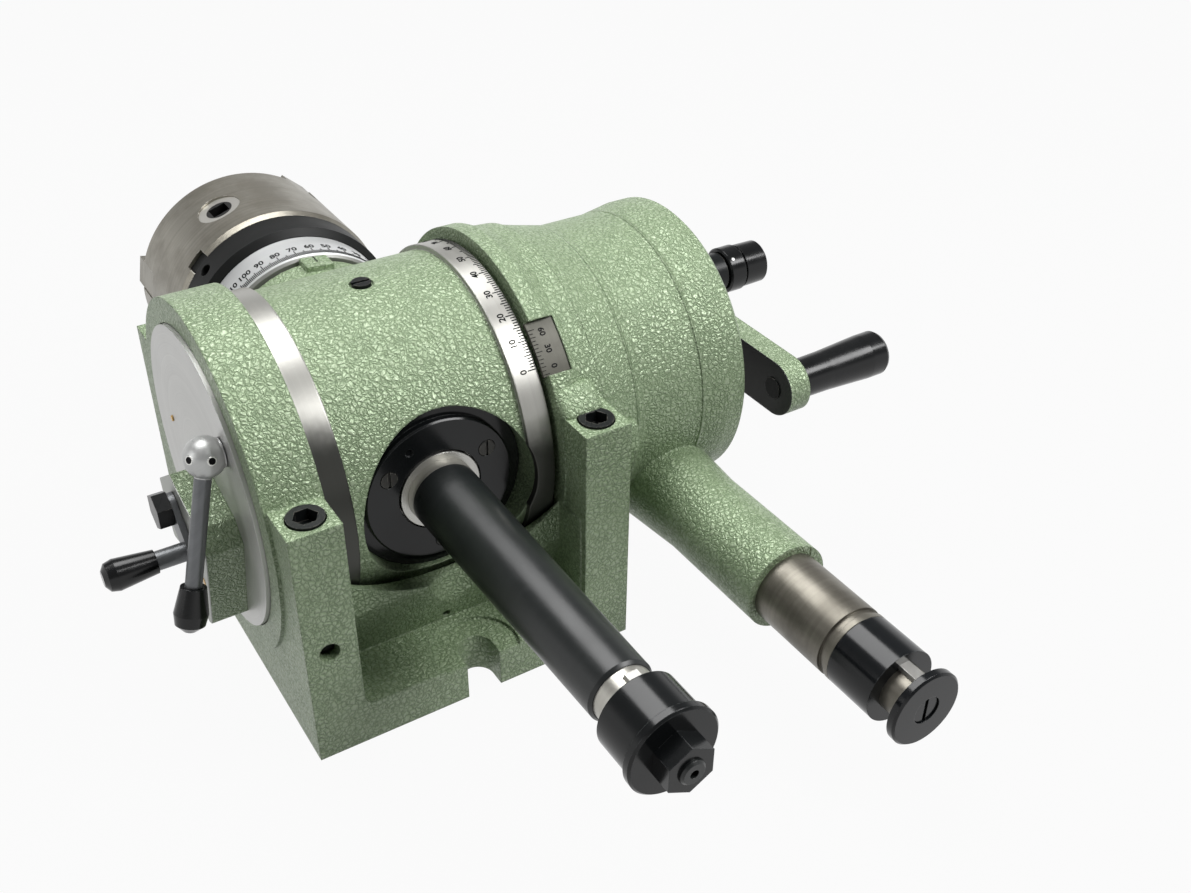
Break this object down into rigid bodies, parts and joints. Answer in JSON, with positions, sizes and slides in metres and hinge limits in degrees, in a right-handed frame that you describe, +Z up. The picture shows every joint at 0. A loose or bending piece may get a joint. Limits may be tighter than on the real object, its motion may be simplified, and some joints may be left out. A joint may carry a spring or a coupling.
{
  "type": "universal dividing head",
  "caption": "Tilting indexing head with a chuck, worm drive, index plate and crank, rear mandrel and side shaft.",
  "frame": {"origin": "on the underside of the base, straight below the crossing of the spindle and tilt axes", "axes": "+Z up, +Y along the spindle to the chuck, +X to the index crank"},
  "size_m": [0.4328, 0.4985, 0.1886],
  "materials": {
    "green_casting": "gloss",
    "black_oxide_steel": "satin",
    "bright_steel": "satin",
    "bronze": "satin",
    "black_plastic": "gloss"
  },
  "bodies": {
    "base_body": {"base": "green_casting", "vernier_plate": "bright_steel", "clamp_screws": "black_oxide_steel", "end_housing": "green_casting", "side_bush": "bright_steel"},
    "swivel": {"swivel_body": "green_casting", "oil_plug": "black_oxide_steel", "right_trunnion": "bright_steel", "left_cover": "green_casting", "trip_block": "green_casting", "trip_bolt": "black_oxide_steel", "rear_flange": "black_oxide_steel", "flange_screws": "bright_steel"},
    "spindle_unit": {"spindle": "bright_steel", "worm_wheel": "bronze", "index_dial": "bright_steel", "chuck_back_plate": "black_oxide_steel", "chuck_body": "bright_steel", "spindle_end_ring": "bright_steel", "mandrel": "black_oxide_steel", "mandrel_key": "bright_steel", "mandrel_collar": "black_oxide_steel", "mandrel_washer": "black_oxide_steel", "mandrel_nut": "bright_steel"},
    "scroll": {"chuck_scroll": "bright_steel"},
    "worm_unit": {"worm": "bright_steel", "worm_gear": "bright_steel"},
    "crank": {"crank_shaft": "bright_steel", "crank_arm": "green_casting", "crank_nut": "black_oxide_steel", "handle_stud": "bright_steel", "plunger_barrel": "bright_steel"},
    "grip": {"handle_grip": "black_plastic"},
    "plunger": {"plunger_pin": "bright_steel", "plunger_knob": "black_plastic"},
    "index_unit": {"plate_sleeve": "black_oxide_steel", "index_plate": "bright_steel"},
    "sector_a": {"sector_arm_a": "black_oxide_steel"},
    "sector_b": {"sector_arm_b": "black_oxide_steel"},
    "side_unit": {"side_shaft": "bright_steel", "side_collar": "black_oxide_steel", "side_key": "bright_steel", "side_washer": "black_oxide_steel", "side_screw": "black_oxide_steel"},
    "lock": {"lock_lever": "bright_steel", "lock_knob": "black_plastic"},
    "trip": {"trip_lever": "bright_steel", "trip_knob": "black_plastic"},
    "pinion_1_body": {"pinion_1": "black_oxide_steel"},
    "jaw_1_body": {"jaw_1": "black_oxide_steel"},
    "pinion_2_body": {"pinion_2": "black_oxide_steel"},
    "jaw_2_body": {"jaw_2": "black_oxide_steel"},
    "pinion_3_body": {"pinion_3": "black_oxide_steel"},
    "jaw_3_body": {"jaw_3": "black_oxide_steel"}
  },
  "joints": [
    {"name": "tilt", "type": "hinge", "parent": "base_body", "child": "swivel", "pos_m": [0, 0, 0.1], "axis": [1, 0, 0], "range_deg": [-6, 16]},
    {"name": "spindle_turn", "type": "hinge", "parent": "swivel", "child": "spindle_unit", "pos_m": [0, 0, 0.1], "axis": [0, 1, 0], "continuous": true},
    {"name": "worm_turn", "type": "hinge", "parent": "swivel", "child": "worm_unit", "pos_m": [0, 0, 0.152], "axis": [1, 0, 0], "continuous": true},
    {"name": "crank_turn", "type": "hinge", "parent": "base_body", "child": "crank", "pos_m": [0, 0, 0.1], "axis": [1, 0, 0], "continuous": true},
    {"name": "grip_turn", "type": "hinge", "parent": "crank", "child": "grip", "pos_m": [0.24, -0.079, 0.1], "axis": [1, 0, 0], "continuous": true},
    {"name": "plunger_pull", "type": "slide", "parent": "crank", "child": "plunger", "axis": [1, 0, 0], "range_m": [0, 0.004], "stiffness_N_per_m": 600, "springref_m": -0.012},
    {"name": "index_turn", "type": "hinge", "parent": "base_body", "child": "index_unit", "pos_m": [0.18, 0, 0.1], "axis": [1, 0, 0], "continuous": true},
    {"name": "side_shaft_turn", "type": "hinge", "parent": "base_body", "child": "side_unit", "pos_m": [0.1346, 0, 0.0524], "axis": [0, 1, 0], "continuous": true},
    {"name": "sector_a_turn", "type": "hinge", "parent": "index_unit", "child": "sector_a", "pos_m": [0.185, 0, 0.1], "axis": [1, 0, 0], "continuous": true},
    {"name": "sector_b_turn", "type": "hinge", "parent": "index_unit", "child": "sector_b", "pos_m": [0.188, 0, 0.1], "axis": [1, 0, 0], "continuous": true},
    {"name": "lock_lever_turn", "type": "hinge", "parent": "swivel", "child": "lock", "pos_m": [-0.095, -0.042, 0.14], "axis": [1, 0, 0], "range_deg": [-40, 0]},
    {"name": "trip_lever_turn", "type": "hinge", "parent": "swivel", "child": "trip", "pos_m": [-0.112, -0.009, 0.096], "axis": [1, 0, 0], "range_deg": [0, 25]},
    {"name": "scroll_turn", "type": "hinge", "parent": "spindle_unit", "child": "scroll", "pos_m": [0, 0.176, 0.1], "axis": [0, 1, 0], "range_deg": [-270, 360]},
    {"name": "pinion_1_turn", "type": "hinge", "parent": "spindle_unit", "child": "pinion_1_body", "pos_m": [-0.01777, 0.166, 0.15311], "axis": [-0.3173, 0, 0.9483], "range_deg": [-810, 1080]},
    {"name": "jaw_1_slide", "type": "slide", "parent": "spindle_unit", "child": "jaw_1_body", "axis": [-0.9799, 0, 0.1994], "range_m": [-0.0061, 0.0081]},
    {"name": "pinion_2_turn", "type": "hinge", "parent": "spindle_unit", "child": "pinion_2_body", "pos_m": [0.05488, 0.166, 0.08883], "axis": [0.9799, 0, -0.1994], "range_deg": [-810, 1080]},
    {"name": "jaw_2_slide", "type": "slide", "parent": "spindle_unit", "child": "jaw_2_body", "axis": [0.6626, 0, 0.749], "range_m": [-0.0061, 0.0081]},
    {"name": "pinion_3_turn", "type": "hinge", "parent": "spindle_unit", "child": "pinion_3_body", "pos_m": [-0.03711, 0.166, 0.05806], "axis": [-0.6626, 0, -0.749], "range_deg": [-810, 1080]},
    {"name": "jaw_3_slide", "type": "slide", "parent": "spindle_unit", "child": "jaw_3_body", "axis": [0.3173, 0, -0.9483], "range_m": [-0.0061, 0.0081]}
  ],
  "couplings": [
    {"joint": "worm_turn", "follows": "crank_turn", "ratio": -1},
    {"joint": "spindle_turn", "follows": "crank_turn", "ratio": 0.025},
    {"joint": "side_shaft_turn", "follows": "index_turn", "ratio": 1},
    {"joint": "pinion_1_turn", "follows": "scroll_turn", "ratio": 3},
    {"joint": "pinion_2_turn", "follows": "scroll_turn", "ratio": 3},
    {"joint": "jaw_2_slide", "follows": "jaw_1_slide", "ratio": 1},
    {"joint": "pinion_3_turn", "follows": "scroll_turn", "ratio": 3},
    {"joint": "jaw_3_slide", "follows": "jaw_1_slide", "ratio": 1}
  ]
}
